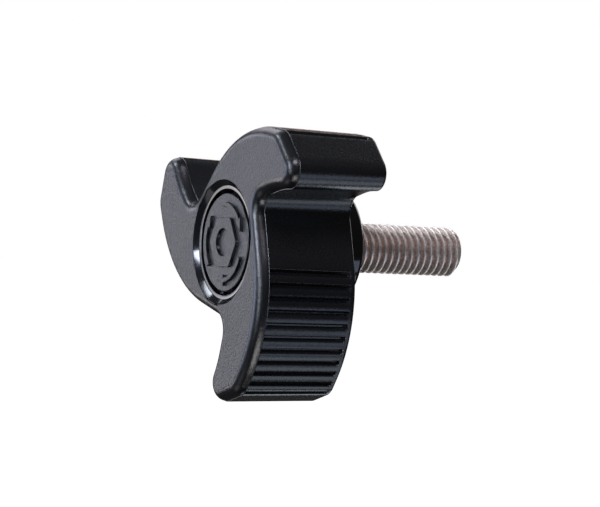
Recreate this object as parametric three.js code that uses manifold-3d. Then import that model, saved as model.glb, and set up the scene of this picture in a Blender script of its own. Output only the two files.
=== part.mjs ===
// A three-wing knob with a threaded stud, sold as a wing nut, in millimetres.
// The knob's axis is Y. The front face looks along -Y, the stud points along +Y, and Z is up.
// The origin is the centre of the clamping face, the flat end of the boss that the stud leaves.
import * as THREE from "three";
import { mergeVertices } from "three/addons/utils/BufferGeometryUtils.js";
import Module from "manifold-3d";

const { degToRad } = THREE.MathUtils;

// Knob body
const KNOB_HEIGHT = 25.6; // front face to clamping face
const WING_DEPTH = 21.5; // front face to the back of the wings
const EDGE_RADIUS = 2.3; // rounding of the front edge, which ends at the parting line
const PARTING_STEP = 0.02; // the grooves begin this far behind the parting line
const DRAFT = degToRad(1.5); // the flanks lean inwards from the parting line to the back
const WING_COUNT = 3;
const WING_PHASE = 45.8; // degrees from +X, towards +Z, of the first wing's outer tip corner
const ARC_STEP = degToRad(9);
const FILLET_STEPS = 4;

// Corners of one wing, in order round the axis: distance from the axis, angle from the outer
// tip corner in degrees, and rounding radius. The notch is the only tight inward corner.
const WING_CORNERS = [
  { reach: 33.9, angle: -27.9, round: 3.8 }, // inner tip corner
  { reach: 30.4, angle: 0, round: 4.7 }, // outer tip corner, where the ribs begin
  { reach: 24.5, angle: 35.7, round: 27.5 }, // crown of the long flank
  { reach: 15.3, angle: 108.9, round: 3.1 }, // notch against the next wing
  { reach: 22.9, angle: 101.5, round: 21.7 }, // hollow of the next wing's short flank
];

// Grip grooves along the long flank
const GROOVE_COUNT = 11;
const GROOVE_PITCH = 2.6;
const GROOVE_WIDTH = 1.3;
const GROOVE_DEPTH = 0.7;
const GROOVE_STOP = 1; // plain rim left between the grooves and the back of the wings
const GROOVE_RUN_OUT = 0.4;

// Cores that hollow the wings from the back
const FRONT_PLATE = 4.2;
const WALL = 2.9;
const HUB_RADIUS = 14; // the hub stays solid inside this
const CORE_DRAFT = 0.5;
const WEB_THICKNESS = 1.8;

// Clamping boss and the holes through the hub
const BOSS_RADIUS = 11.75;
const BOSS_EDGE = 1;
const BEVEL_RADIUS = 12.2; // outer edge of the bevel round the cap, in the front face
const BEVEL_DEPTH = 0.9;
const LAND_RADIUS = 11.1; // where the bevel meets the narrow land
const CAP_SEAT_RADIUS = 10.45;
const CAP_SEAT_DEPTH = 4.5;
const GAP = 0.3; // clearance left between pieces that touch

// Hexagon-head bolt, M10 x 1.5, 40 long
const THREAD_RADIUS = 4.93;
const THREAD_PITCH = 1.5;
const THREAD_DEPTH = 0.9;
const BOLT_LENGTH = 40;
const STUD_LENGTH = 26.4; // beyond the clamping face
const SHANK_RADIUS = 4.9;
const THREAD_START = -3; // the plain shank ends here, inside the boss
const HEAD_HEIGHT = 6.4;
const HEAD_ACROSS_FLATS = 16;
const HEAD_CHAMFER = 1;
const STUD_CHAMFER = 0.6;

// Cap
const CAP_RADIUS = 9.63;
const CAP_FLANGE_RADIUS = 10.15;
const CAP_PLATE = 2.1;
const CAP_FLANGE = 1.2;
const SPIGOT_RADIUS = 7;
const MARK_HEIGHT = 0.35;
const MARK_NUT_FLATS = 9.6;
const MARK_NUT_HOLE = 2.7;
const ARROW_OUTER = 7.9;
const ARROW_INNER = 7;
const ARROW_COUNT = 3;
const ARROW_TURN = 14; // degrees from +X of the first arrow's zero
const ARROW_TAIL = 84; // degrees from the arrow's zero of its tail, of its neck and of its tip
const ARROW_NECK = 22;
const ARROW_TIP = 2;
const ARROW_HEAD = [6.3, 7.45, 8.6]; // distances from the axis of the head's three corners

// Places along the axis
const FRONT = -KNOB_HEIGHT;
const WING_BACK = FRONT + WING_DEPTH;
const HEAD_BEARING = STUD_LENGTH - BOLT_LENGTH;
const HEAD_TOP = HEAD_BEARING - HEAD_HEIGHT;
const CAP_FACE = FRONT + BEVEL_DEPTH;
const OVERLAP = 1; // how far a cutting tool reaches past the face it cuts

const wasm = await Module();
wasm.setup();

// A closed three.js geometry as a solid that can be joined and cut.
function solid(geometry) {
  const bare = geometry.index ? geometry.toNonIndexed() : geometry.clone();
  for (const name of Object.keys(bare.attributes)) {
    if (name !== "position") bare.deleteAttribute(name);
  }
  const merged = mergeVertices(bare, 1e-4);
  return new wasm.Manifold(
    new wasm.Mesh({
      numProp: 3,
      vertProperties: merged.attributes.position.array,
      triVerts: new Uint32Array(merged.index.array),
    }),
  );
}

function mesh(name, shape, look) {
  const { numProp, vertProperties, triVerts } = shape.getMesh();
  const geometry = new THREE.BufferGeometry();
  geometry.setAttribute("position", new THREE.BufferAttribute(vertProperties, numProp));
  geometry.setIndex(new THREE.BufferAttribute(triVerts, 1));
  geometry.computeVertexNormals();
  const made = new THREE.Mesh(geometry, new THREE.MeshStandardMaterial(look));
  made.name = name;
  return made;
}

// A round solid on the axis, from [radius, y] pairs that run from its front to its back.
function turned(profile, segments = 64) {
  const points = profile.map(([radius, y]) => new THREE.Vector2(radius, y));
  return solid(new THREE.LatheGeometry(points, segments));
}

function cylinder(radius, front, back, segments) {
  return turned([[0, front], [radius, front], [radius, back], [0, back]], segments);
}

// An outline in the XZ plane pushed along Y from front to back.
function extruded(shape, front, back) {
  const settings = { depth: back - front, bevelEnabled: false, curveSegments: 24 };
  const geometry = new THREE.ExtrudeGeometry(shape, settings);
  geometry.rotateX(Math.PI / 2); // the extrusion now runs along -Y, and the sketch's y along Z
  geometry.translate(0, back, 0);
  return solid(geometry);
}

function hexagon(acrossFlats) {
  const radius = acrossFlats / 2 / Math.cos(Math.PI / 6);
  const corners = Array.from({ length: 6 }, (_, i) => polar(radius, i * 60));
  return new THREE.Shape(corners);
}

function polar(reach, degrees) {
  const angle = degToRad(degrees);
  return new THREE.Vector2(reach * Math.cos(angle), reach * Math.sin(angle));
}

// The wings' outline at the parting line: straight stretches joined by tangent arcs.
function wingOutline() {
  const corners = [];
  for (let wing = 0; wing < WING_COUNT; wing++) {
    const turn = WING_PHASE + (wing * 360) / WING_COUNT;
    for (const { reach, angle, round } of WING_CORNERS) {
      corners.push({ point: polar(reach, turn + angle), round });
    }
  }
  const outline = new THREE.Path();
  corners.forEach(({ point, round }, i) => {
    const before = corners.at(i - 1).point.clone().sub(point).normalize();
    const after = corners[(i + 1) % corners.length].point.clone().sub(point).normalize();
    const half = Math.acos(before.dot(after)) / 2;
    const inwards = before.clone().add(after).normalize();
    const centre = point.clone().addScaledVector(inwards, round / Math.sin(half));
    const setBack = round / Math.tan(half);
    const start = point.clone().addScaledVector(before, setBack).sub(centre);
    const end = point.clone().addScaledVector(after, setBack).sub(centre);
    const clockwise = before.cross(after) > 0;
    outline.absarc(centre.x, centre.y, round, start.angle(), end.angle(), clockwise);
  });
  outline.closePath();
  return outline;
}

// Places round the outline, as lengths along it, with the depth of the grip groove at each.
function outlineStations(outline) {
  const stations = [];
  const perWing = outline.curves.length / WING_COUNT;
  const lengths = outline.getCurveLengths();
  outline.curves.forEach((curve, i) => {
    const start = i ? lengths[i - 1] : 0;
    const length = lengths[i] - start;
    const steps = curve.isLineCurve ? 1 : Math.ceil(length / curve.xRadius / ARC_STEP);
    for (let step = 0; step < steps; step++) {
      stations.push({ at: start + (length * step) / steps, groove: 0 });
    }
    if (i % perWing === 2) stations.push(...grooveStations(start + length / 2));
  });
  return clearOfGrooves(stations).sort((a, b) => a.at - b.at);
}

// Each groove is a shallow trapezium; the first one is in the middle of the outer tip corner.
function grooveStations(first) {
  const profile = [[-0.5, 0], [-0.27, 1], [0.27, 1], [0.5, 0]];
  const stations = [];
  for (let i = 0; i < GROOVE_COUNT; i++) {
    for (const [across, share] of profile) {
      const at = first + i * GROOVE_PITCH + across * GROOVE_WIDTH;
      stations.push({ at, groove: share * GROOVE_DEPTH, first, grooved: true });
    }
  }
  return stations;
}

// Drops the plain stations that would fall between a groove's own.
function clearOfGrooves(stations) {
  const firsts = [...new Set(stations.filter((s) => s.grooved).map((s) => s.first))];
  return stations.filter(({ at, grooved }) => {
    if (grooved) return true;
    return firsts.every((first) => {
      const along = (at - first) / GROOVE_PITCH;
      const nearest = Math.round(along);
      const hasGroove = nearest >= 0 && nearest < GROOVE_COUNT;
      return !hasGroove || Math.abs(along - nearest) * GROOVE_PITCH > GROOVE_WIDTH / 2 + 0.15;
    });
  });
}

// Points and outward normals of the outline at its stations.
function outlineFrame() {
  const outline = wingOutline();
  const total = outline.getLength();
  return outlineStations(outline).map(({ at, groove }) => {
    const point = outline.getPointAt(at / total);
    const along = outline.getTangentAt(at / total);
    return { point, normal: new THREE.Vector2(along.y, -along.x), groove };
  });
}

// The outline moved inwards, at a place along the axis, with or without its grooves.
function ring(frame, inset, y, grooved = false) {
  return frame.map(({ point, normal, groove }) => {
    const moved = point.clone().addScaledVector(normal, -inset - (grooved ? groove : 0));
    return new THREE.Vector3(moved.x, y, moved.y);
  });
}

// A closed solid through rings that have the same number of points, from front to back.
function lofted(rings) {
  const count = rings[0].length;
  const index = [];
  for (let level = 0; level < rings.length - 1; level++) {
    for (let i = 0; i < count; i++) {
      const next = (i + 1) % count;
      const [a, b] = [level * count + i, level * count + next];
      index.push(a, a + count, b, b, a + count, b + count);
    }
  }
  const flat = (points) => points.map(({ x, z }) => new THREE.Vector2(x, z));
  const last = (rings.length - 1) * count;
  for (const [a, b, c] of THREE.ShapeUtils.triangulateShape(flat(rings[0]), [])) {
    index.push(a, b, c);
  }
  for (const [a, b, c] of THREE.ShapeUtils.triangulateShape(flat(rings.at(-1)), [])) {
    index.push(last + a, last + c, last + b);
  }
  const geometry = new THREE.BufferGeometry().setFromPoints(rings.flat());
  return solid(geometry.setIndex(index));
}

// The three wings and the hub: rounded front edge, then grooved and drafted flanks.
function wings(frame) {
  const rings = [];
  for (let step = 0; step <= FILLET_STEPS; step++) {
    const angle = (Math.PI / 2) * (step / FILLET_STEPS);
    const inset = EDGE_RADIUS * (1 - Math.sin(angle));
    rings.push(ring(frame, inset, FRONT + EDGE_RADIUS * (1 - Math.cos(angle))));
  }
  rings.push(ring(frame, 0, FRONT + EDGE_RADIUS + PARTING_STEP, true));
  const flank = (y, grooved) => {
    return ring(frame, (y - FRONT - EDGE_RADIUS) * Math.tan(DRAFT), y, grooved);
  };
  rings.push(flank(WING_BACK - GROOVE_STOP - GROOVE_RUN_OUT, true));
  rings.push(flank(WING_BACK - GROOVE_STOP, false), flank(WING_BACK, false));
  return lofted(rings);
}

// The rib that stiffens each wing inside, from the hub to the tip.
function web(wing) {
  const turn = WING_PHASE + (wing * 360) / WING_COUNT;
  const root = polar(10, turn + 40);
  const tip = polar(32, turn - 13);
  const side = tip.clone().sub(root).normalize().multiplyScalar(WEB_THICKNESS / 2);
  side.set(-side.y, side.x);
  const corners = [root.clone().add(side), root.clone().sub(side)];
  corners.push(tip.clone().sub(side), tip.clone().add(side));
  return extruded(new THREE.Shape(corners), FRONT + FRONT_PLATE, WING_BACK + 2 * OVERLAP);
}

// What the cores take out of the wings: everything inside the walls but the hub and the webs.
function cores(frame) {
  const floor = FRONT + FRONT_PLATE;
  const rings = [ring(frame, WALL + CORE_DRAFT, floor), ring(frame, WALL, WING_BACK + OVERLAP)];
  let hollow = lofted(rings);
  hollow = hollow.subtract(cylinder(HUB_RADIUS, floor - OVERLAP, WING_BACK + 2 * OVERLAP));
  for (let wing = 0; wing < WING_COUNT; wing++) hollow = hollow.subtract(web(wing));
  return hollow;
}

function boss() {
  const profile = [[0, FRONT + FRONT_PLATE], [BOSS_RADIUS, FRONT + FRONT_PLATE]];
  for (let step = 0; step <= FILLET_STEPS; step++) {
    const angle = (Math.PI / 2) * (step / FILLET_STEPS);
    const radius = BOSS_RADIUS - BOSS_EDGE * (1 - Math.cos(angle));
    profile.push([radius, -BOSS_EDGE * (1 - Math.sin(angle))]);
  }
  profile.push([0, 0]);
  return turned(profile);
}

// The stepped hole through the hub: bevel, cap seat, hexagon pocket and shank bore.
function hubHole() {
  const mouth = turned([
    [0, FRONT - OVERLAP],
    [BEVEL_RADIUS + OVERLAP * ((BEVEL_RADIUS - LAND_RADIUS) / BEVEL_DEPTH), FRONT - OVERLAP],
    [LAND_RADIUS, CAP_FACE],
    [CAP_SEAT_RADIUS, CAP_FACE],
    [CAP_SEAT_RADIUS, FRONT + CAP_SEAT_DEPTH],
    [0, FRONT + CAP_SEAT_DEPTH],
  ]);
  const pocketFlats = HEAD_ACROSS_FLATS + 2 * GAP;
  const pocket = extruded(hexagon(pocketFlats), FRONT + CAP_SEAT_DEPTH - OVERLAP, HEAD_BEARING + GAP);
  const bore = cylinder(THREAD_RADIUS + GAP, HEAD_BEARING - OVERLAP, OVERLAP, 40);
  return mouth.add(pocket).add(bore);
}

function knobBody() {
  const frame = outlineFrame();
  return wings(frame).subtract(cores(frame)).add(boss()).subtract(hubHole());
}

// A rod with a right-hand thread, longer than needed, whose ends are closed to a point.
function threadedRod(front, back) {
  const columns = 20;
  const profile = [[0, 0], [0.3125, 1], [0.4375, 1], [0.75, 0]]; // share of the pitch, of the depth
  const rows = profile.length;
  const turns = Math.ceil((back - front) / THREAD_PITCH);
  const points = [];
  const index = [];
  for (let row = 0; row <= turns * rows + rows; row++) {
    const [share, height] = profile[row % rows];
    const radius = THREAD_RADIUS - THREAD_DEPTH * (1 - height);
    for (let column = 0; column < columns; column++) {
      const turn = Math.floor(row / rows) + share + column / columns;
      const angle = (2 * Math.PI * column) / columns;
      const y = front + turn * THREAD_PITCH;
      points.push(new THREE.Vector3(radius * Math.sin(angle), y, radius * Math.cos(angle)));
    }
  }
  // The vertex after the last column is the first column's, one pitch further on.
  const at = (row, column) =>
    column < columns ? row * columns + column : (row + rows) * columns;
  for (let row = 0; row < turns * rows; row++) {
    for (let column = 0; column < columns; column++) {
      const [a, b] = [at(row, column), at(row, column + 1)];
      const [c, d] = [at(row + 1, column), at(row + 1, column + 1)];
      index.push(a, b, c, b, d, c);
    }
  }
  closeEnd(points, index, endLoop(0, rows, columns, at), front + THREAD_PITCH / 2, false);
  const backRow = turns * rows;
  closeEnd(points, index, endLoop(backRow, rows, columns, at), back + THREAD_PITCH, true);
  return solid(new THREE.BufferGeometry().setFromPoints(points).setIndex(index));
}

// One turn of the helix, and the step back along the thread's own profile.
function endLoop(row, rows, columns, at) {
  const loop = [];
  for (let column = 0; column < columns; column++) loop.push(at(row, column));
  for (let step = rows; step > 0; step--) loop.push(at(row + step, 0));
  return loop;
}

function closeEnd(points, index, loop, y, isBack) {
  const centre = points.push(new THREE.Vector3(0, y, 0)) - 1;
  loop.forEach((a, i) => {
    const b = loop[(i + 1) % loop.length];
    index.push(...(isBack ? [a, b, centre] : [b, a, centre]));
  });
}

function hexagonHead() {
  const blank = extruded(hexagon(HEAD_ACROSS_FLATS), HEAD_TOP, HEAD_BEARING);
  const crown = (HEAD_ACROSS_FLATS / 2) * 0.95; // flat circle left on top by turning the corners off
  const corners = (HEAD_ACROSS_FLATS / 2) * 1.2;
  const rounding = turned([
    [0, HEAD_TOP],
    [crown, HEAD_TOP],
    [corners, HEAD_TOP + HEAD_CHAMFER],
    [corners, HEAD_BEARING],
    [0, HEAD_BEARING],
  ]);
  return blank.intersect(rounding);
}

function threadedStud() {
  const rod = threadedRod(THREAD_START - 2 * THREAD_PITCH, STUD_LENGTH + THREAD_PITCH);
  const tip = THREAD_RADIUS - STUD_CHAMFER;
  const envelope = turned([
    [0, THREAD_START],
    [THREAD_RADIUS + 0.01, THREAD_START],
    [THREAD_RADIUS + 0.01, STUD_LENGTH - STUD_CHAMFER],
    [tip, STUD_LENGTH],
    [0, STUD_LENGTH],
  ], 40);
  const shank = cylinder(SHANK_RADIUS, HEAD_BEARING - OVERLAP, THREAD_START + 0.4, 40);
  return rod.intersect(envelope).add(shank).add(hexagonHead());
}

// A curved arrow that points clockwise seen from the front, the way that tightens the knob.
function turnArrow(turn) {
  const [tail, neck] = [degToRad(turn + ARROW_TAIL), degToRad(turn + ARROW_NECK)];
  const arrow = new THREE.Shape().absarc(0, 0, ARROW_INNER, tail, neck, true);
  const places = [ARROW_NECK, ARROW_TIP, ARROW_NECK];
  places.forEach((place, i) => {
    const corner = polar(ARROW_HEAD[i], turn + place);
    arrow.lineTo(corner.x, corner.y);
  });
  arrow.absarc(0, 0, ARROW_OUTER, neck, tail, false);
  return arrow;
}

// The raised mark: a hexagon nut with three turn arrows round it.
function capMark() {
  const [front, back] = [CAP_FACE - MARK_HEIGHT, CAP_FACE + MARK_HEIGHT];
  const nut = hexagon(MARK_NUT_FLATS);
  nut.holes.push(new THREE.Path().absarc(0, 0, MARK_NUT_HOLE, 0, 2 * Math.PI));
  let mark = extruded(nut, front, back);
  for (let i = 0; i < ARROW_COUNT; i++) {
    const turn = ARROW_TURN + (i * 360) / ARROW_COUNT;
    mark = mark.add(extruded(turnArrow(turn), front, back));
  }
  return mark;
}

function frontCap() {
  const flangeFront = CAP_FACE + CAP_PLATE;
  const flangeBack = flangeFront + CAP_FLANGE;
  const spigotBack = HEAD_TOP - GAP;
  const disc = turned([
    [0, CAP_FACE],
    [CAP_RADIUS, CAP_FACE],
    [CAP_RADIUS, flangeFront],
    [CAP_FLANGE_RADIUS, flangeFront],
    [CAP_FLANGE_RADIUS, flangeBack],
    [SPIGOT_RADIUS, flangeBack],
    [SPIGOT_RADIUS, spigotBack],
    [0, spigotBack],
  ]);
  return disc.add(capMark());
}

const wingNut = new THREE.Group();
wingNut.add(
  mesh("knob_body", knobBody(), { color: 0x2b2d30, roughness: 0.45, metalness: 0 }),
  mesh("threaded_stud", threadedStud(), { color: 0xb3a89b, roughness: 0.3, metalness: 1 }),
  mesh("front_cap", frontCap(), { color: 0x34363a, roughness: 0.55, metalness: 0 }),
);

export default wingNut;
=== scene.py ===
import math

import bmesh
import bpy
import numpy as np
from mathutils import Matrix, Vector
from mathutils.geometry import tessellate_polygon


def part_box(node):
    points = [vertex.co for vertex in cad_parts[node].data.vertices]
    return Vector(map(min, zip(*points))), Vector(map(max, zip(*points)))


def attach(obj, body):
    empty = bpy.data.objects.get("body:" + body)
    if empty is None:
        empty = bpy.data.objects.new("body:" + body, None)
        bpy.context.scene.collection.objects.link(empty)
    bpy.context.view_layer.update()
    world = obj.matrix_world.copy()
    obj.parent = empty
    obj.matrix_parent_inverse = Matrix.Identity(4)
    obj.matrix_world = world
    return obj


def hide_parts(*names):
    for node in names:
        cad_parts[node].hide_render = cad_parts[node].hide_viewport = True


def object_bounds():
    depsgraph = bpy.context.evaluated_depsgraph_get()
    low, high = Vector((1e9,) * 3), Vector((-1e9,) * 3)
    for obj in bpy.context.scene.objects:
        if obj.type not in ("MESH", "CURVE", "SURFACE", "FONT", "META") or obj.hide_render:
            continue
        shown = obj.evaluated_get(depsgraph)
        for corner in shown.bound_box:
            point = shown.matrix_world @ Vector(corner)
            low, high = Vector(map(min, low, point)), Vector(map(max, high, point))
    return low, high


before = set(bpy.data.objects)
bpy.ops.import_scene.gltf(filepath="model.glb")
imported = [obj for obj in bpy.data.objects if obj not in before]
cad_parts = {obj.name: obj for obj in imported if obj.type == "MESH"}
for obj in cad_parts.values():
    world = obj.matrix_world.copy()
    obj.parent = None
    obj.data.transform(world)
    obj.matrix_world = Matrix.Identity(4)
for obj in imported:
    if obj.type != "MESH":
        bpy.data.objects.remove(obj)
cad_low, cad_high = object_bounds()

# Knob body: one black nylon moulding, three hooked wings round a hub. Its two mould halves meet
# at a parting line just behind the rounded front edge, the grip ribs run back from that line,
# and cores hollow each wing from behind on both sides of a web.

MM = 0.001
knob_low, knob_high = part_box("knob_body")
front = knob_low.y
clamping_face = knob_high.y
wing_back = front + 21.5 * MM
first_wing_turn = math.radians(45.8)
WINGS = 3
mould_shrinkage = 0.01 * MM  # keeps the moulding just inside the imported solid's outline

# Corners of one wing: distance from the axis, angle from the outer tip corner, rounding radius.
wing_corners = [
    (33.9, -27.9, 3.8),  # inner tip corner
    (30.4, 0, 4.7),  # outer tip corner, where the ribs begin
    (24.5, 35.7, 27.5),  # crown of the long flank
    (15.3, 108.9, 3.1),  # notch against the next wing
    (22.9, 101.5, 21.7),  # hollow of the next wing's short flank
]
CORNER_STEPS = 60  # even, so that a corner's middle is one of its points


def unit(plan):
    return plan / abs(plan)


def wing_outline():
    """The outline at the parting line as plan points x + iz, and the outward normal at each."""
    corners = []
    for wing in range(WINGS):
        for reach, angle, rounding in wing_corners:
            turn = first_wing_turn + wing * math.tau / WINGS + math.radians(angle)
            corners.append((reach * MM * np.exp(1j * turn), rounding * MM))
    points, normals = [], []
    for i, (corner, radius) in enumerate(corners):
        before = unit(corners[i - 1][0] - corner)
        after = unit(corners[(i + 1) % len(corners)][0] - corner)
        half = abs(np.angle(before / after)) / 2
        centre = corner + unit(before + after) * radius / math.sin(half)
        start = corner + before * radius / math.tan(half) - centre
        end = corner + after * radius / math.tan(half) - centre
        sweep = np.angle(end / start)
        radial = start * np.exp(1j * sweep * np.linspace(0, 1, CORNER_STEPS + 1))
        points.append(centre + radial)
        normals.append(radial / radius * np.sign(sweep))
    return np.concatenate(points), np.concatenate(normals)


outline_points, outline_normals = wing_outline()
outline_run = np.append(0, np.cumsum(abs(np.diff(outline_points))))
outline_length = outline_run[-1] + abs(outline_points[0] - outline_points[-1])
wing_run = outline_length / WINGS
rib_start = outline_run[CORNER_STEPS + 1 + CORNER_STEPS // 2]  # middle of the outer tip corner


def outline_at(run, inset):
    """Plan points at lengths along the outline from the first groove, moved inwards, and normals."""
    place = np.asarray(run) + rib_start
    point = np.interp(place, outline_run, outline_points, period=outline_length)
    normal = np.interp(place, outline_run, outline_normals, period=outline_length)
    return point - (inset + mould_shrinkage) * unit(normal), unit(normal)


class Shell:
    """A closed surface gathered loop by loop. A loop is plan points x + iz at places along Y."""

    def __init__(self):
        self.points, self.faces = [], []

    def loop(self, plan, y):
        start = len(self.points)
        along = np.broadcast_to(y, plan.shape)
        self.points.extend(zip(plan.real, along, plan.imag))
        return range(start, start + len(plan))

    def bands(self, *loops):
        """Quads between each loop and the next."""
        for a, b in zip(loops, loops[1:]):
            for i in range(len(a)):
                j = (i + 1) % len(a)
                self.faces.append((a[i], a[j], b[j], b[i]))

    def fill(self, *loops):
        """Flat triangles inside the first loop and outside the others."""
        index = [i for loop in loops for i in loop]
        flat = [[Vector((self.points[i][0], self.points[i][2], 0)) for i in loop] for loop in loops]
        for triangle in tessellate_polygon(flat):
            self.faces.append([index[corner] for corner in triangle])

    def mesh(self, name):
        made = bpy.data.meshes.new(name)
        made.from_pydata(self.points, [], self.faces)
        return made


groove_count = 11
groove_pitch = 2.6 * MM
groove_width = 1.45 * MM
groove_depth = 0.95 * MM
groove_floor_share = 0.22  # flat floor as a share of the groove's width, the rest is its walls
rib_crown = 0.2 * MM

# Places across one groove and half of each rib beside it, close together on the groove's walls.
to_wall = MM * np.array(
    [0, 0.15, 0.3, 0.4, 0.44, 0.47, 0.5, 0.53, 0.56, 0.59, 0.62, 0.66, 0.74, 0.86, 1, 1.15])
across_groove = np.concatenate([[-groove_pitch / 2], -to_wall[:0:-1], to_wall])
grip_stations = np.concatenate([across_groove + i * groove_pitch for i in range(groove_count)])
grip_end = (groove_count - 0.5) * groove_pitch
PLAIN_STATIONS = 120
plain_stations = np.linspace(grip_end, wing_run - groove_pitch / 2, PLAIN_STATIONS, endpoint=False)
wing_stations = np.concatenate([grip_stations, plain_stations])
stations = np.concatenate([wing_stations + wing * wing_run for wing in range(WINGS)])

edge_radius = 2.3 * MM
parting = front + edge_radius
parting_ledge = 0.12 * MM  # the rear half of the mould is this much larger all round
draft = math.tan(math.radians(1.5))
edge_texture = 0.5  # the grain is worn down to this share on the rounded edge
flank_texture = 0.42  # the rear half of the mould is only lightly blasted
rear_rounding = 0.45 * MM
flat_margin = 0.15 * MM  # flat row beside a rounding, which keeps the flat face's shading flat
plain_rim = 1 * MM  # left between the grooves and the back
groove_run_out = 0.4 * MM


def quarter(steps):
    """Sine and cosine at even steps from 0 to 90 degrees."""
    return [(math.sin(a), math.cos(a)) for a in np.linspace(0, math.pi / 2, steps + 1)]


def wing_section():
    """Rows from the front face to the back: inset, place along Y, share of groove, of texture."""
    rows = [(edge_radius + flat_margin, front, 0, 1)]
    for sine, cosine in quarter(10):
        inset = parting_ledge + (edge_radius - parting_ledge) * (1 - sine)
        y = front + (edge_radius - 0.05 * MM) * (1 - cosine)
        rows.append((inset, y, 0, max(edge_texture, 1 - 2.2 * sine)))
    rows.append((0.3 * parting_ledge, parting - 0.04 * MM, 0, 0.3))
    rows.append((0, parting, 0, flank_texture))
    grooves_end = wing_back - plain_rim
    for y, grooved in (
        (parting + 0.02 * MM, 1),
        (parting + 0.2 * MM, 1),
        *[(parting + share * (grooves_end - parting), 1) for share in (0.25, 0.5, 0.75)],
        (grooves_end - groove_run_out, 1),
        (grooves_end - 0.7 * groove_run_out, 0.9),
        (grooves_end - 0.3 * groove_run_out, 0.1),
        (grooves_end, 0),
        (wing_back - rear_rounding - 0.1 * MM, 0),
    ):
        rows.append(((y - parting) * draft, y, grooved, flank_texture))
    lean = (wing_back - rear_rounding - parting) * draft
    for sine, cosine in quarter(5):
        rows.append((lean + rear_rounding * (1 - cosine), wing_back - rear_rounding * (1 - sine), 0, 0))
    rows.append((lean + rear_rounding + flat_margin, wing_back, 0, 0))
    return rows


# The cores: two pockets in each wing, one on each side of the web that runs from hub to tip.
wall = 2.9 * MM
hub_radius = 14 * MM
web_half = 0.9 * MM
web_root = 10 * MM * np.exp(1j * math.radians(40))
web_tip = 32 * MM * np.exp(1j * math.radians(-13))
pocket_floor = front + 4.2 * MM
core_draft = 0.5 * MM
web_head_cut, notch_cut, web_foot_cut = 1.5 * MM, 4 * MM, 1.2 * MM  # how far the corners round


def trimmed(line, start_cut, end_cut, count):
    """Even points on a plan line, leaving a length out at each end, less on a short line."""
    run = np.append(0, np.cumsum(abs(np.diff(line))))
    most = 0.42 * run[-1]
    return np.interp(np.linspace(min(start_cut, most), run[-1] - min(end_cut, most), count), run, line)


def corner_curve(start, corner, end, count=8):
    """Points between two places on the curve that a corner rounds into."""
    t = np.linspace(0, 1, count + 2)[1:-1]
    return start * (1 - t) ** 2 + 2 * corner * t * (1 - t) + end * t**2


def pocket_loop(wing, side, shrink):
    """The pocket's outline on side 1, the long flank's, or -1, with its walls moved inwards."""
    edge_samples, line_points = 4000, 80
    flank_points, notch_points, web_points = 70, 24, 30
    turn = np.exp(1j * (first_wing_turn + wing * math.tau / WINGS))
    past_web, past_notch = (-0.2, 0.7) if side > 0 else (0, -0.45)
    run = np.linspace(past_web, past_notch, edge_samples) * wing_run
    edge = outline_at(run + wing * wing_run, wall + shrink)[0] / turn
    along = unit(web_tip - web_root)
    hub = hub_radius + shrink
    off_web = ((edge - web_root) * along.conjugate()).imag * side
    clear = (abs(edge) > hub) & (off_web > web_half + shrink)
    flank = edge[np.argmax(clear):]
    flank = flank[:np.argmax(abs(flank) < hub)]
    base = web_root + 1j * along * side * (web_half + shrink)
    middle = (base * along.conjugate()).real
    web_foot = base + along * (math.sqrt(hub**2 - abs(base) ** 2 + middle**2) - middle)
    arc = hub * np.exp(1j * np.linspace(np.angle(flank[-1]), np.angle(web_foot), line_points))
    web = np.linspace(web_foot, flank[0], line_points)
    lines = [flank, arc, web]
    cuts = [web_head_cut, notch_cut, web_foot_cut]
    starts = [trimmed(lines[i], cuts[i], cuts[(i + 1) % 3], 2)[0] for i in range(3)]
    loop = []
    for i, count in enumerate((flank_points, notch_points, web_points)):
        after = (i + 1) % 3
        stretch = trimmed(lines[i], cuts[i], cuts[after], count)
        loop += [stretch, corner_curve(stretch[-1], lines[after][0], starts[after])]
    return np.concatenate(loop)[::side] * turn


def pocket_section():
    """Rows from the mouth to the floor: how far the walls come in, and the place along Y."""
    lip, foot = 0.2 * MM, 0.5 * MM
    rows = [(-1.4 * lip, wing_back)]  # a flat collar round the mouth
    rows += [(lip * (sine - 1), wing_back - lip * (1 - cosine)) for sine, cosine in quarter(3)]
    for share in (0.03, 0.35, 0.65, 0.97):
        y = wing_back - lip + share * (pocket_floor + foot - wing_back + lip)
        rows.append((share * core_draft, y))
    for sine, cosine in quarter(5):
        rows.append((core_draft + foot * (1 - cosine), pocket_floor + foot * (1 - sine)))
    return rows


ROUND = 144  # points on a circle, a multiple of six so that a hexagon keeps its corners
circle = np.exp(1j * np.arange(ROUND) * math.tau / ROUND)


def hexagon(across_flats):
    """The hexagon that has a corner on +X, with as many points as a circle."""
    from_flat = np.arange(ROUND) * math.tau / ROUND % (math.pi / 3) - math.pi / 6
    return circle * across_flats / 2 / np.cos(from_flat)


cap_face = front + 0.9 * MM
cap_seat_floor = front + 4.5 * MM
head_bearing = -13.6 * MM
gap = 0.3 * MM  # between pieces that the real object presses together


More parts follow.
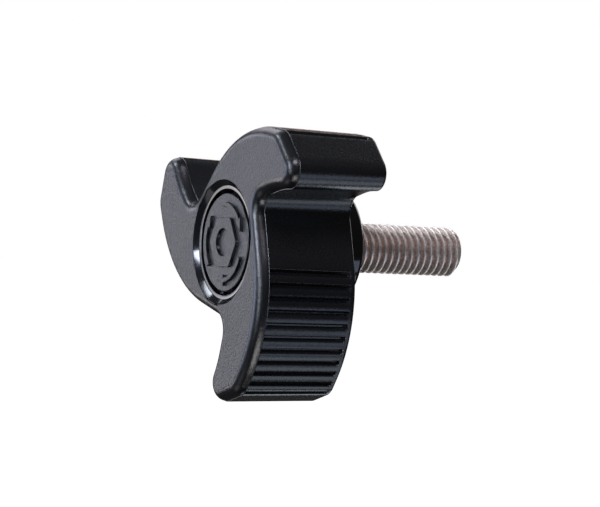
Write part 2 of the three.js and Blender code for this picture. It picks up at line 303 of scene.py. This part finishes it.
def hub_section():
    """Loops from the foot of the boss, through the stepped hole, to the front face."""
    boss_radius, bore_radius, foot, rim = 11.75 * MM, 5.23 * MM, 0.4 * MM, 1 * MM
    chamfer = 0.4 * MM
    head_pocket = hexagon(16.6 * MM)
    seat, bevel_inner, bevel_outer = 10.45 * MM, 11.1 * MM, 12.2 * MM
    rows = [(circle * (boss_radius + foot + 0.1 * MM), wing_back)]
    for sine, cosine in quarter(4):
        rows.append((circle * (boss_radius + foot * (1 - sine)), wing_back + foot * (1 - cosine)))
    for sine, cosine in quarter(8):
        rows.append((circle * (boss_radius - rim * (1 - cosine)), clamping_face - rim * (1 - sine)))
    rows += [
        (circle * (boss_radius - rim - 0.1 * MM), clamping_face),
        (circle * (bore_radius + chamfer), clamping_face),
        (circle * bore_radius, clamping_face - chamfer),
        (circle * bore_radius, head_bearing + gap),
        (head_pocket, head_bearing + gap),
        (head_pocket, cap_seat_floor),
        (circle * seat, cap_seat_floor),
        (circle * seat, cap_face + 0.06 * MM),
        (circle * (seat + 0.06 * MM), cap_face),
        (circle * (bevel_inner - 0.05 * MM), cap_face),
        (circle * (bevel_inner + 0.03 * MM), cap_face - 0.04 * MM),
        (circle * (bevel_inner + 0.08 * MM), cap_face - 0.08 * MM),
        (circle * (bevel_outer - 0.08 * MM), front + 0.085 * MM),
        (circle * bevel_outer, front + 0.03 * MM),
        (circle * (bevel_outer + 0.08 * MM), front),
        (circle * (bevel_outer + 0.25 * MM), front),
    ]
    return rows


def knob_shell():
    """The moulding without its ribs, with what the rib tree and the finish need at each point."""
    shell = Shell()
    section = wing_section()
    normal = outline_at(stations, 0)[1]
    rings = [shell.loop(outline_at(stations, inset)[0], y) for inset, y, _, _ in section]
    shell.bands(*rings)
    hub = [shell.loop(plan, y) for plan, y in hub_section()]
    shell.bands(*hub)
    mouths = []
    for wing in range(WINGS):
        for side in (1, -1):
            rows = [shell.loop(pocket_loop(wing, side, shrink), y) for shrink, y in pocket_section()]
            shell.bands(*rows)
            shell.fill(rows[-1])
            mouths.append(rows[0])
    shell.fill(rings[-1], hub[0], *mouths)
    shell.fill(rings[0], hub[-1])
    made = shell.mesh("knob_shell")
    flank_count = len(stations) * len(section)  # the flank's points come first
    grooved = np.zeros(len(shell.points))
    grooved[:flank_count] = np.repeat([row[2] for row in section], len(stations))
    textured = np.zeros(len(shell.points))
    textured[:flank_count] = np.repeat([row[3] for row in section], len(stations))
    textured[hub[-2][0]:hub[-1][-1] + 1] = 1
    run = np.full(len(shell.points), wing_run / 2)
    run[:flank_count] = np.tile(wing_stations, WINGS * len(section))
    out = np.zeros((len(shell.points), 3))
    out[:flank_count, 0] = np.tile(normal.real, len(section))
    out[:flank_count, 2] = np.tile(normal.imag, len(section))
    for name, kind, key, values in (
        ("grooved", "FLOAT", "value", grooved),
        ("textured", "FLOAT", "value", textured),
        ("flank_run", "FLOAT", "value", run),
        ("flank_out", "FLOAT_VECTOR", "vector", out.ravel()),
    ):
        made.attributes.new(name, kind, "POINT").data.foreach_set(key, values.astype(np.float32))
    return made


class Wire:
    """An output socket. Arithmetic on it adds Math nodes, and make() adds any other node."""

    def __init__(self, tree, socket=None):
        self.tree, self.socket = tree, socket

    def make(self, kind, settings=None, sockets=None, out=0):
        node = self.tree.nodes.new(kind)
        for name, value in (settings or {}).items():
            setattr(node, name, value)
        for key, value in (sockets or {}).items():
            if isinstance(value, Wire):
                self.tree.links.new(value.socket, node.inputs[key])
            else:
                node.inputs[key].default_value = value
        return Wire(self.tree, node.outputs[out])

    def maths(self, operation, *values):
        return self.make("ShaderNodeMath", {"operation": operation}, dict(enumerate(values)))

    def __add__(self, other):
        return self.maths("ADD", self, other)

    def __sub__(self, other):
        return self.maths("SUBTRACT", self, other)

    def __rsub__(self, other):
        return self.maths("SUBTRACT", other, self)

    def __mul__(self, other):
        return self.maths("MULTIPLY", self, other)

    def __truediv__(self, other):
        return self.maths("DIVIDE", self, other)

    __radd__, __rmul__ = __add__, __mul__


def geometry_tree(name, inputs):
    """A Geometry Nodes tree with named inputs, as the tree and a Wire for each input."""
    tree = bpy.data.node_groups.new(name, "GeometryNodeTree")
    for label, kind in inputs.items():
        tree.interface.new_socket(label, in_out="INPUT", socket_type="NodeSocket" + kind)
    tree.interface.new_socket("Geometry", in_out="OUTPUT", socket_type="NodeSocketGeometry")
    group = tree.nodes.new("NodeGroupInput")
    return tree, {label: Wire(tree, group.outputs[label]) for label in inputs}


def end_tree(tree, geometry, material):
    """Makes a tree's instances real, gives them their material and links the output."""
    real = geometry.make("GeometryNodeRealizeInstances", None, {0: geometry})
    finished = real.make("GeometryNodeSetMaterial", None, {"Geometry": real, "Material": material})
    output = tree.nodes.new("NodeGroupOutput")
    tree.links.new(finished.socket, output.inputs[0])


def grown(tree, mesh, sizes):
    """The mesh that a tree makes from another, with the tree's inputs set before it runs."""
    host = bpy.data.objects.new(tree.name, mesh)
    bpy.context.scene.collection.objects.link(host)
    modifier = host.modifiers.new(tree.name, "NODES")
    modifier.node_group = tree
    for item in tree.interface.items_tree:
        if item.name in sizes:
            modifier[item.identifier] = sizes[item.name]
    evaluated = host.evaluated_get(bpy.context.evaluated_depsgraph_get())
    made = bpy.data.meshes.new_from_object(evaluated)
    host.modifiers.remove(modifier)
    bpy.data.objects.remove(host)
    return made


def grip_rib_tree():
    """Sinks a groove at each pitch along the flank, which leaves the ribs standing, and crowns them."""
    tree, size = geometry_tree("grip_ribs", {
        "Geometry": "Geometry", "Pitch": "Float", "Width": "Float", "Depth": "Float",
        "Count": "Int", "Floor Share": "Float", "Crown": "Float", "Material": "Material"})
    named = "GeometryNodeInputNamedAttribute"
    start = Wire(tree)
    run = start.make(named, {"data_type": "FLOAT"}, {"Name": "flank_run"})
    grooved = start.make(named, {"data_type": "FLOAT"}, {"Name": "grooved"})
    out = start.make(named, {"data_type": "FLOAT_VECTOR"}, {"Name": "flank_out"})
    nearest = start.maths("ROUND", run / size["Pitch"])
    nearest = start.maths("MINIMUM", start.maths("MAXIMUM", nearest, 0), size["Count"] - 1)
    from_middle = start.maths("ABSOLUTE", run - nearest * size["Pitch"])
    across = from_middle / size["Width"]
    off_crown = start.maths("MAXIMUM", 1 - from_middle / size["Pitch"] * 2, 0)
    sunk = start.make("ShaderNodeMapRange", {"interpolation_type": "SMOOTHSTEP"}, {
        "Value": across, "From Min": size["Floor Share"] * 0.5, "From Max": 0.5,
        "To Min": 1, "To Max": 0})
    depth = start.maths("MAXIMUM", sunk * size["Depth"], off_crown * off_crown * size["Crown"])
    offset = start.make("ShaderNodeVectorMath", {"operation": "SCALE"}, {
        0: out, "Scale": 0 - depth * grooved})
    ribbed = start.make("GeometryNodeSetPosition", None, {
        "Geometry": size["Geometry"], "Offset": offset})
    end_tree(tree, ribbed, size["Material"])
    return tree


def finished_mesh(mesh, name, sharp_angle):
    """Merges doubles, turns the faces outwards and keeps the real edges sharp."""
    same_place = 1e-7
    bm = bmesh.new()
    bm.from_mesh(mesh)
    bmesh.ops.remove_doubles(bm, verts=bm.verts, dist=same_place)
    bmesh.ops.recalc_face_normals(bm, faces=bm.faces)
    if bm.calc_volume(signed=True) < 0:
        bmesh.ops.reverse_faces(bm, faces=bm.faces)
    bm.to_mesh(mesh)
    bm.free()
    mesh.shade_smooth()
    mesh.set_sharp_from_angle(angle=math.radians(sharp_angle))
    mesh.name = name
    return mesh


def shown(mesh, material):
    """A piece's object, at the origin, with its place in its mesh."""
    mesh.materials.clear()
    mesh.materials.append(material)
    piece = bpy.data.objects.new(mesh.name, mesh)
    bpy.context.scene.collection.objects.link(piece)
    return piece


def nylon_finish(name, gloss_roughness, grain_depth):
    """Black nylon: fine spark-eroded grain where the mould is textured, glossy elsewhere."""
    grain_roughness, relief = 0.36, 0.0025
    material = bpy.data.materials.new(name)
    material.use_nodes = True
    tree = material.node_tree
    tree.nodes.clear()
    start = Wire(tree)
    place = start.make("ShaderNodeTexCoord", out="Object")
    textured = start.make("ShaderNodeAttribute", {"attribute_name": "textured"}, out="Fac")

    def noise(scale, detail=2, vector=place):
        return start.make("ShaderNodeTexNoise", None, {"Vector": vector, "Scale": scale, "Detail": detail})

    # Faint marks along Y, the way the moulding is drawn from its mould, and a slow waviness.
    drawn = start.make("ShaderNodeVectorMath", {"operation": "MULTIPLY"}, {0: place, 1: (1, 0.04, 1)})
    draw_marks = noise(1500, vector=drawn)
    wave = noise(160)
    pits = start.make("ShaderNodeTexVoronoi", {"feature": "SMOOTH_F1"}, {
        "Vector": place, "Scale": 2200, "Smoothness": 0.5})
    grain = noise(2000) * 0.8 + pits * 0.5
    height = grain * textured * textured * grain_depth
    height = height + (wave * 6 + draw_marks * (1 - textured)) * relief * MM
    normal = start.make("ShaderNodeBump", None, {"Strength": 1, "Distance": 1, "Height": height})
    mottle = noise(90, 3)
    colour = start.make("ShaderNodeMix", {"data_type": "RGBA"}, {
        0: mottle, 6: (0.004, 0.0043, 0.0052, 1), 7: (0.008, 0.0085, 0.0102, 1)}, out=2)
    roughness = gloss_roughness + mottle * 0.06
    roughness = roughness + textured * (grain_roughness - gloss_roughness + grain * 0.2)
    shader = start.make("ShaderNodeBsdfPrincipled", None, {
        "Base Color": colour, "Roughness": roughness, "IOR": 1.53, "Normal": normal})
    output = tree.nodes.new("ShaderNodeOutputMaterial")
    tree.links.new(shader.socket, output.inputs["Surface"])
    return material


body_nylon = nylon_finish("body_nylon", 0.08, 0.125 * MM)
ribbed_mesh = grown(grip_rib_tree(), knob_shell(), {
    "Pitch": groove_pitch, "Width": groove_width, "Depth": groove_depth, "Count": groove_count,
    "Floor Share": groove_floor_share, "Crown": rib_crown, "Material": body_nylon})
knob = shown(finished_mesh(ribbed_mesh, "knob_moulding", 32), body_nylon)
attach(knob, "root")
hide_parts("knob_body")

# Hexagon-head bolt: stainless steel, M10 x 1.5. Its head is held in the hub's hexagon pocket and
# its rolled thread stands out of the clamping face as the stud. It is one piece, threaded by a
# helix that is cut to length, with the plain shank and the head joined to its front end.

bolt_low, bolt_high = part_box("threaded_stud")
head_top = bolt_low.y
stud_end = bolt_high.y
thread_start = -3 * MM  # inside the boss, where the plain shank ends
thread_pitch = 1.5 * MM
thread_radius = 4.93 * MM
thread_depth = 0.9 * MM
tip_chamfer = 0.95 * MM
COLUMNS = 96  # vertices round one turn
hair = 1e-6  # points nearer to each other than this are one point


def thread_tree():
    """A tube whose rows follow the helix, chamfered at its tip, to be cut square at both ends."""
    tree, size = geometry_tree("rolled_thread", {
        "Radius": "Float", "Depth": "Float", "Pitch": "Float", "Start": "Float", "Turns": "Int",
        "Columns": "Int", "Rows per Turn": "Int", "Crest Share": "Float", "Root Share": "Float",
        "Run-out End": "Float", "Chamfer Start": "Float", "Material": "Material"})
    start = Wire(tree)
    grid = start.make("GeometryNodeMeshGrid", None, {
        "Size X": 1, "Size Y": 1, "Vertices X": size["Columns"] + 1,
        "Vertices Y": size["Turns"] * size["Rows per Turn"] + 1})
    place = start.make("GeometryNodeInputPosition")
    split = place.make("ShaderNodeSeparateXYZ", None, {0: place})
    across, along = split, Wire(tree, split.socket.node.outputs[1])
    turn = across + 0.5
    row = (along + 0.5) * size["Turns"]
    y = size["Start"] + (row + turn - 1) * size["Pitch"]
    whole_turn_guard = 1e-5  # keeps a row at a whole turn from falling into the turn before
    share = start.maths("FRACT", row + whole_turn_guard) - 0.5
    from_crest = start.maths("ABSOLUTE", share) * 2
    height = start.make("ShaderNodeMapRange", {"interpolation_type": "LINEAR"}, {
        "Value": from_crest, "From Min": size["Crest Share"], "From Max": 1 - size["Root Share"],
        "To Min": 1, "To Max": 0})
    run_out = start.make("ShaderNodeMapRange", {"interpolation_type": "SMOOTHSTEP"}, {
        "Value": y, "From Min": size["Start"], "From Max": size["Run-out End"],
        "To Min": 0, "To Max": 1})
    sunk = (1 - height) * size["Depth"] * run_out
    chamfer = start.maths("MAXIMUM", y - size["Chamfer Start"], 0)
    radius = start.maths("MINIMUM", size["Radius"] - sunk, size["Radius"] - chamfer)
    angle = turn * math.tau
    point = start.make("ShaderNodeCombineXYZ", None, {
        "X": radius * start.maths("SINE", angle), "Y": y, "Z": radius * start.maths("COSINE", angle)})
    tube = start.make("GeometryNodeSetPosition", None, {"Geometry": grid, "Position": point})
    sealed = start.make("GeometryNodeMergeByDistance", None, {"Geometry": tube, "Distance": hair})
    end_tree(tree, sealed, size["Material"])
    return tree


def head_shell():
    """The head and the plain shank, open where the thread joins on."""
    shell = Shell()
    flats = hexagon(16 * MM)
    crown, washer_face, shank = 7.6 * MM, 7.4 * MM, 4.9 * MM
    turned_off = head_top + np.maximum(0, abs(flats) - crown) * math.tan(math.radians(30))
    rows = [
        (circle * (crown - 0.3 * MM), head_top),
        (circle * crown, head_top + 0.03 * MM),
        (flats, turned_off),
        (flats, head_bearing - 0.3 * MM),
        (circle * (washer_face + 0.1 * MM), head_bearing - 0.25 * MM),
        (circle * washer_face, head_bearing),
        (circle * (shank + 0.4 * MM), head_bearing),
        (circle * (shank + 0.07 * MM), head_bearing + 0.12 * MM),
        (circle * shank, head_bearing + 0.4 * MM),
        (circle * shank, thread_start - 0.2 * MM),
    ]
    loops = [shell.loop(plan, y) for plan, y in rows]
    shell.bands(*loops)
    shell.fill(loops[0])
    return shell.mesh("head")


def cut_square(bm, y, keep_below):
    """Cuts the tube square at a place along Y and clears the slivers that the cut leaves."""
    sign = 1 if keep_below else -1
    bmesh.ops.bisect_plane(
        bm, geom=[*bm.verts, *bm.edges, *bm.faces], dist=1e-9, plane_co=(0, y, 0),
        plane_no=(0, sign, 0), clear_outer=True)
    bmesh.ops.dissolve_degenerate(bm, edges=bm.edges, dist=hair)


def bolt_mesh(thread):
    """The thread cut to length, closed at its tip and joined to the shank and head."""
    bm = bmesh.new()
    bm.from_mesh(thread)
    cut_square(bm, stud_end, True)
    tip_edges = [e for e in bm.edges if e.is_boundary and e.verts[0].co.y > 0]
    bmesh.ops.holes_fill(bm, edges=tip_edges, sides=0)
    cut_square(bm, thread_start, False)
    bm.from_mesh(head_shell())
    open_edges = [e for e in bm.edges if e.is_boundary]
    bmesh.ops.bridge_loops(bm, edges=open_edges)
    made = bpy.data.meshes.new("bolt")
    bm.to_mesh(made)
    bm.free()
    return made


def steel_finish(name):
    """Stainless steel, with a painted highlight along the rolled crests and painted shade, browner and
    darker, down in the roots, which are also duller.
    """
    # The near-white crest colour is a painted highlight, and the darker, browner root colour is painted
    # shade.
    root_shade_colour, crest_highlight_colour = (0.40, 0.29, 0.235, 1), (1.0, 0.96, 0.92, 1)
    material = bpy.data.materials.new(name)
    material.use_nodes = True
    tree = material.node_tree
    tree.nodes.clear()
    start = Wire(tree)
    place = start.make("ShaderNodeTexCoord", out="Object")
    from_axis = start.make("ShaderNodeVectorMath", {"operation": "MULTIPLY"}, {0: place, 1: (1, 0, 1)})
    radius = start.make("ShaderNodeVectorMath", {"operation": "LENGTH"}, {0: from_axis}, out="Value")
    crest_highlight_mask = start.make("ShaderNodeMapRange", None, {
        "Value": radius, "From Min": thread_radius - 0.23 * MM,
        "From Max": thread_radius - 0.06 * MM, "To Min": 0, "To Max": 1})
    rolled = start.make("ShaderNodeVectorMath", {"operation": "MULTIPLY"}, {0: place, 1: (1, 14, 1)})
    lines = start.make("ShaderNodeTexNoise", None, {"Vector": rolled, "Scale": 700, "Detail": 3})
    blotches = start.make("ShaderNodeTexNoise", None, {"Vector": place, "Scale": 2600, "Detail": 2})
    # Painted highlight and painted shade: the mix runs from the darker root colour to the near-white crest
    # colour, with random blotches on top.
    highlight_and_blotches = crest_highlight_mask * 0.8 + blotches * 1.1 - 0.32
    colour = start.make("ShaderNodeMix", {"data_type": "RGBA"}, {
        0: highlight_and_blotches, 6: root_shade_colour, 7: crest_highlight_colour}, out=2)
    roughness = 0.5 - crest_highlight_mask * 0.12 + blotches * 0.1
    normal = start.make("ShaderNodeBump", None, {
        "Strength": 1, "Distance": 1, "Height": (lines * 0.7 + blotches * 0.8) * 0.02 * MM})
    shader = start.make("ShaderNodeBsdfPrincipled", None, {
        "Base Color": colour, "Metallic": 1, "Roughness": roughness, "Normal": normal})
    output = tree.nodes.new("ShaderNodeOutputMaterial")
    tree.links.new(shader.socket, output.inputs["Surface"])
    return material


stainless = steel_finish("stainless_steel")
thread_turns = math.ceil((stud_end - thread_start) / thread_pitch) + 4
thread = grown(thread_tree(), bpy.data.meshes.new("seed"), {
    "Radius": thread_radius, "Depth": thread_depth, "Pitch": thread_pitch,
    "Start": thread_start - thread_pitch, "Turns": thread_turns, "Columns": COLUMNS,
    "Rows per Turn": 20, "Crest Share": 0.1, "Root Share": 0.24,
    "Run-out End": thread_start + thread_pitch, "Chamfer Start": stud_end - tip_chamfer,
    "Material": stainless})
bolt = shown(finished_mesh(bolt_mesh(thread), "hexagon_head_bolt", 40), stainless)
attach(bolt, "root")
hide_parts("threaded_stud")

# Cap: a black nylon disc pressed into the front of the hub over the bolt head. Its face has the
# same grain as the knob's, and carries a raised mark, a nut with three turn arrows round it.

cap_radius = 9.63 * MM
cap_edge = 0.22 * MM  # rounding of the disc's rim
flange_radius = 10.15 * MM
spigot_radius = 7 * MM
mark_height = 0.65 * MM
nut_flats, nut_hole_radius = 9.6 * MM, 2.7 * MM
arrow_turns = [math.radians(14 + 120 * i) for i in range(3)]


def offset_loop(plan, outwards):
    """A counter-clockwise plan loop moved outwards along its normals."""
    along = unit(np.roll(plan, -1) - np.roll(plan, 1))
    return plan - 1j * along * outwards


def softened(corners, cuts, count=6):
    """A closed plan outline through corners, each rounded over its cut's length on both sides."""
    loop = []
    for i, corner in enumerate(corners):
        before, after = corners[i - 1], corners[(i + 1) % len(corners)]
        start = corner + unit(before - corner) * min(cuts[i], 0.45 * abs(before - corner))
        end = corner + unit(after - corner) * min(cuts[i], 0.45 * abs(after - corner))
        loop += [[start], corner_curve(start, corner, end, count), [end]]
    return np.concatenate(loop)


def turn_arrow(turn):
    """A curved arrow that points the tightening way, clockwise seen from the front."""
    tail, neck, tip = math.radians(84), math.radians(22), math.radians(2)
    shaft_steps = 28
    arc = np.exp(1j * np.linspace(tail, neck, shaft_steps))
    inner, outer = 7 * MM * arc, 7.9 * MM * arc
    barb_inner, barb_outer = 6.3 * MM, 8.6 * MM
    head = [
        barb_inner * np.exp(1j * neck),
        (barb_inner + barb_outer) / 2 * np.exp(1j * tip),
        barb_outer * np.exp(1j * neck),
    ]
    corners = np.concatenate([inner, head, outer[::-1]])
    shaft_cuts = [0.1 * MM] * shaft_steps
    cuts = shaft_cuts + [0.12 * MM, 0.15 * MM, 0.12 * MM] + shaft_cuts
    return softened(corners, cuts, 3) * np.exp(1j * turn)


# A mark's wall from its foot to its top: how far outside the outline, in mm, and share of height.
mark_profile = [
    (0.12, 0), (0.05, 0), (0.02, 0.03), (0, 0.08), (-0.04, 0.9), (-0.06, 0.97), (-0.1, 1), (-0.15, 1)]


def raised(shell, base, is_hole=False):
    """The wall round a mark's outline, as the loops at its foot and its top."""
    way = -1 if is_hole else 1
    loops = []
    for outwards, share in mark_profile:
        plan = offset_loop(base, way * outwards * MM)
        loops.append(shell.loop(plan, cap_face - share * mark_height))
    shell.bands(*loops)
    return loops[0], loops[-1]


def cap_mesh():
    """The disc with its mark, its flange and the spigot that reaches the bolt head."""
    shell = Shell()
    flange = cap_face + 2.1 * MM
    flange_back = flange + 1.2 * MM
    rows = [(circle * (cap_radius - cap_edge - 0.1 * MM), cap_face)]
    for sine, cosine in quarter(4):
        rows.append((circle * (cap_radius - cap_edge * (1 - sine)), cap_face + cap_edge * (1 - cosine)))
    rows += [
        (circle * cap_radius, flange),
        (circle * flange_radius, flange + 0.15 * MM),
        (circle * flange_radius, flange_back),
        (circle * spigot_radius, flange_back),
        (circle * spigot_radius, head_top - gap - 0.2 * MM),
        (circle * (spigot_radius - 0.2 * MM), head_top - gap),
    ]
    disc = [shell.loop(plan, y) for plan, y in rows]
    shell.bands(*disc)
    shell.fill(disc[-1])
    nut_corners = nut_flats / math.sqrt(3) * np.exp(1j * np.arange(6) * math.tau / 6)
    nut_base, nut_top = raised(shell, softened(nut_corners, [0.5 * MM] * 6))
    hole_base, hole_top = raised(shell, nut_hole_radius * circle[::2], True)
    arrows = [raised(shell, turn_arrow(turn)) for turn in arrow_turns]
    shell.fill(disc[0], nut_base, *[base for base, _ in arrows])
    shell.fill(nut_top, hole_top)
    shell.fill(hole_base)
    for _, top in arrows:
        shell.fill(top)
    made = shell.mesh("cap")
    y = np.array(shell.points)[:, 1]
    textured = (abs(y - cap_face) <= 0.001 * MM) | (y <= cap_face - 0.96 * mark_height)
    layer = made.attributes.new("textured", "FLOAT", "POINT")
    layer.data.foreach_set("value", textured.astype(np.float32))
    return made


cap_nylon = nylon_finish("cap_nylon", 0.1, 0.11 * MM)
cap = shown(finished_mesh(cap_mesh(), "cap_disc", 32), cap_nylon)
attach(cap, "root")
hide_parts("front_cap")

# Studio: a plain pale floor below, soft boxes round the object and a long lens. The knob hangs
# with its axis level, and is seen from its side and a little from its front.

floor_drop = 60 * MM
floor_half = 40.0
floor_corners = ((-floor_half, -floor_half), (floor_half, -floor_half),
                 (floor_half, floor_half), (-floor_half, floor_half))
floor_mesh = bpy.data.meshes.new("studio_floor")
floor_mesh.from_pydata([(x, y, cad_low.z - floor_drop) for x, y in floor_corners], [], [(0, 1, 2, 3)])
floor_paint = bpy.data.materials.new("floor_paint")
floor_paint.use_nodes = True
floor_shader = floor_paint.node_tree.nodes["Principled BSDF"]
floor_shader.inputs["Base Color"].default_value = (0.9, 0.9, 0.9, 1)
floor_shader.inputs["Roughness"].default_value = 0.9
floor_shader.inputs["Emission Color"].default_value = (1, 1, 1, 1)
floor_shader.inputs["Emission Strength"].default_value = 1
floor = shown(floor_mesh, floor_paint)
floor.visible_glossy = False  # it glows, but it doesn't light the object
floor.visible_diffuse = False

# Each soft box: azimuth and elevation of its place seen from the object, width, height, power in
# watts and colour.
soft_boxes = {
    "key_low": (-61, -8, 0.45, 0.3, 1.4, (1.0, 0.96, 0.98)),
    "key_middle": (-61, 12, 0.45, 0.3, 1.67, (0.86, 0.87, 1.0)),
    "left_high": (-92, 40, 0.45, 0.4, 1.5, (0.92, 0.9, 1.0)),
    "front_strip": (11, 19, 0.14, 0.28, 4.2, (0.78, 0.83, 1.0)),
    "front_high_strip": (-33, 44, 0.42, 0.13, 2.7, (0.82, 0.9, 1.0)),
    "front": (-30, 0, 0.35, 0.4, 2.6, (0.66, 0.74, 1.0)),
    "front_right_strip": (26, 0, 0.26, 0.5, 2.6, (0.78, 0.88, 1.0)),
    "right_high": (75, 45, 0.5, 0.3, 4.4, (0.9, 0.87, 1.0)),
    "front_low": (-20, -50, 0.5, 0.4, 0.5, (0.95, 0.95, 1.0)),
    "right_low": (80, -50, 0.5, 0.4, 3.9, (1.0, 0.95, 0.96)),
    "rear_right_low": (124, -30, 0.4, 0.3, 0.65, (0.64, 0.74, 1.0)),
    "under": (-142, -50, 0.4, 0.3, 1.0, (0.8, 0.88, 1.0)),
    "rear_under": (150, -54, 0.45, 0.3, 0.85, (0.74, 0.84, 1.0)),
    "rear_fill": (200, 28, 0.6, 0.6, 3, (0.95, 0.97, 1.0)),
    "rear_left_rim": (-122, 8, 0.4, 0.4, 1.1, (1.0, 0.8, 0.75)),
}
box_distance = 0.9
middle = (cad_low + cad_high) / 2
for name, (azimuth, elevation, width, height, power, colour) in soft_boxes.items():
    a, e = math.radians(azimuth), math.radians(elevation)
    towards = Vector((math.sin(a) * math.cos(e), -math.cos(a) * math.cos(e), math.sin(e)))
    light = bpy.data.lights.new(name, "AREA")
    light.shape, light.size, light.size_y = "RECTANGLE", width, height
    light.energy, light.color = power, colour
    lamp = bpy.data.objects.new(name, light)
    lamp.location = middle + towards * box_distance
    lamp.rotation_mode = "QUATERNION"
    lamp.rotation_quaternion = towards.to_track_quat("Z", "Y")
    lamp.visible_camera = False
    bpy.context.scene.collection.objects.link(lamp)

# White behind the object, and only a trace of light from all round.
all_round = 0.05
world = bpy.data.worlds.new("studio")
world.use_nodes = True
world.node_tree.nodes.clear()
sky = Wire(world.node_tree)
seen = sky.make("ShaderNodeLightPath", out="Is Camera Ray")
backdrop = sky.make("ShaderNodeBackground", None, {
    "Color": (1, 1, 1, 1), "Strength": seen * (1 - all_round) + all_round})
world_output = world.node_tree.nodes.new("ShaderNodeOutputWorld")
world.node_tree.links.new(backdrop.socket, world_output.inputs["Surface"])
bpy.context.scene.world = world
bpy.context.scene.view_settings.view_transform = "Standard"

view_turn = math.radians(61.6)
roll = math.radians(2.37)
camera_distance = 779.2  # in mm, as the two offsets from the middle of the front face
aim_right, aim_down = 15.34, 2.22
back = Vector((math.sin(view_turn), -math.cos(view_turn), 0))
level = Vector((math.cos(view_turn), math.sin(view_turn), 0))
upright = Vector((0, 0, 1))
camera_right = level * math.cos(roll) + upright * math.sin(roll)
camera_up = upright * math.cos(roll) - level * math.sin(roll)
camera_data = bpy.data.cameras.new("camera")
camera_data.lens, camera_data.sensor_width = 240, 36
camera_data.clip_start, camera_data.clip_end = 0.01, 20
camera = bpy.data.objects.new("camera", camera_data)
face_centre = Vector((0, front, 0))
camera_place = face_centre + camera_right * aim_right * MM - camera_up * aim_down * MM
camera_place = camera_place + back * camera_distance * MM
turned_axes = Matrix((camera_right, camera_up, back)).transposed().to_4x4()
camera.matrix_world = Matrix.Translation(camera_place) @ turned_axes
bpy.context.scene.collection.objects.link(camera)
bpy.context.scene.camera = camera
